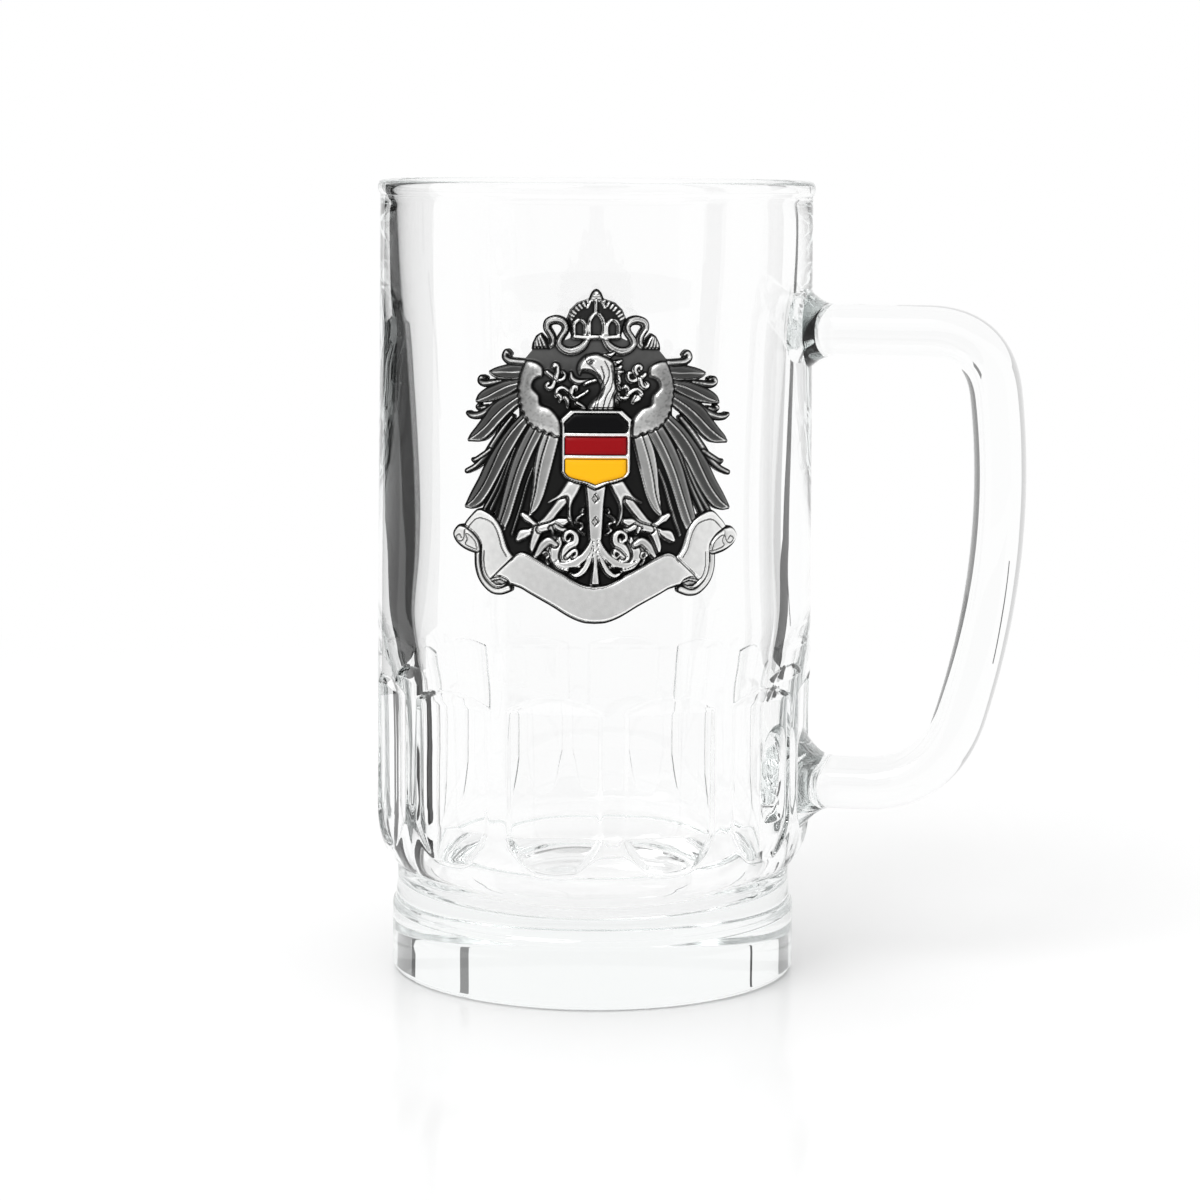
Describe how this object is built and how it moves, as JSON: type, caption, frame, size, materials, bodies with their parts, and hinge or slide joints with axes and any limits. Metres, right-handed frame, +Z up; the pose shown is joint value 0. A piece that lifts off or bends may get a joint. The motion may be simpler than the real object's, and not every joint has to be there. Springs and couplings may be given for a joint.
{
  "type": "beer mug",
  "caption": "Clear pressed-glass beer mug with a beaded rim, a band of arched panels, a thick foot, a welded D handle and a bent pewter medallion with enamel fills; holds about half a litre to the brim.",
  "frame": {"origin": "centre of the foot's flat underside, on the barrel's axis", "axes": "+Z up along the barrel's axis, +X towards the handle, so the medallion faces the -Y side"},
  "size_m": [0.1209, 0.0847, 0.148],
  "materials": {
    "glass": "clear fire-polished soda-lime glass with a faint green-grey tint where it is thick",
    "pewter": "antiqued cast pewter, satin on the high parts and black in the recesses",
    "adhesive": "matt grey bonding pad",
    "enamel_black": "glossy black enamel fill",
    "enamel_red": "glossy red enamel fill",
    "enamel_gold": "glossy golden-yellow enamel fill"
  },
  "bodies": {
    "root": {"glass_body": "glass", "handle": "glass", "medallion": "pewter", "adhesive_pad": "adhesive", "enamel_black": "enamel_black", "enamel_red": "enamel_red", "enamel_gold": "enamel_gold"}
  },
  "joints": []
}
